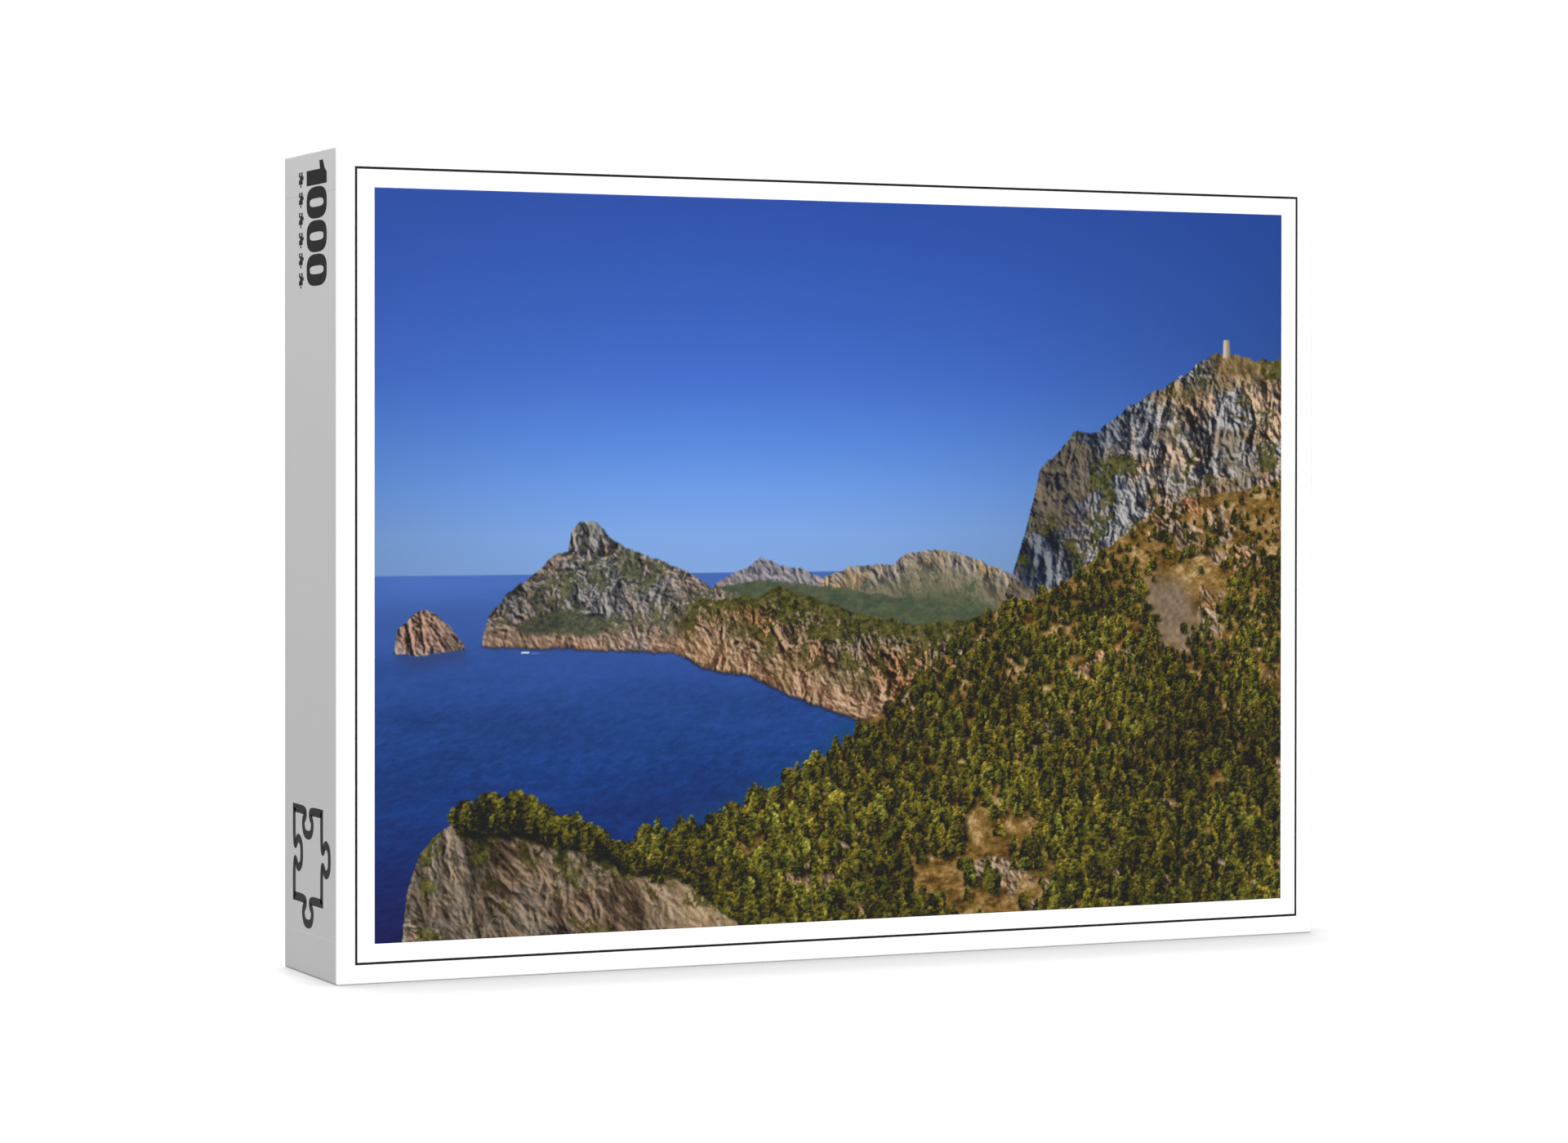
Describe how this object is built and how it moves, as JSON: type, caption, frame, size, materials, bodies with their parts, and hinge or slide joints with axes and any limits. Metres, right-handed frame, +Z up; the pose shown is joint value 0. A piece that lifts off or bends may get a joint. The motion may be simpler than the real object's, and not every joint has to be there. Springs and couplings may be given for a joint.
{
  "type": "boxed jigsaw puzzle",
  "caption": "Full-depth lift-off lid over a tray, both of paper-wrapped greyboard, around a sealed film bag of loose die-cut jigsaw pieces.",
  "frame": {"origin": "middle of the box's footprint where it stands upright on a long side wall", "axes": "+X along the width, +Z up along the height, -Y out of the picture face of the lid"},
  "size_m": [0.37, 0.056, 0.273],
  "materials": {
    "greyboard": "uncoated grey recycled board",
    "printed_paper": "printed art paper with a satin film",
    "white_paper": "plain uncoated white paper",
    "paper_tape": "kraft corner tape",
    "clear_film": "clear polypropylene film",
    "printed_board": "printed puzzle board, grey on the back"
  },
  "bodies": {
    "tray": {"tray_board": "greyboard", "tray_wrap": "white_paper", "tray_corner_tapes": "paper_tape"},
    "lid": {"lid_board": "greyboard", "lid_wrap": "printed_paper", "lid_corner_tapes": "paper_tape"},
    "bag": {"bag_film": "clear_film", "puzzle_pieces_layer_01": "printed_board", "puzzle_pieces_layer_02": "printed_board", "puzzle_pieces_layer_03": "printed_board", "puzzle_pieces_layer_04": "printed_board", "puzzle_pieces_layer_05": "printed_board", "puzzle_pieces_layer_06": "printed_board", "puzzle_pieces_layer_07": "printed_board", "puzzle_pieces_layer_08": "printed_board", "puzzle_pieces_layer_09": "printed_board", "puzzle_pieces_layer_10": "printed_board", "puzzle_pieces_layer_11": "printed_board", "puzzle_pieces_layer_12": "printed_board", "puzzle_pieces_layer_13": "printed_board", "puzzle_pieces_layer_14": "printed_board", "puzzle_pieces_layer_15": "printed_board", "puzzle_pieces_layer_16": "printed_board"}
  },
  "joints": [
    {"name": "lid_lift", "type": "slide", "parent": "tray", "child": "lid", "axis": [0, -1, 0], "range_m": [0, 0.12]},
    {"name": "bag_lift", "type": "slide", "parent": "tray", "child": "bag", "axis": [0, -1, 0], "range_m": [0, 0.054]}
  ],
  "couplings": [
    {"joint": "bag_lift", "follows": "lid_lift", "ratio": 0.45}
  ]
}
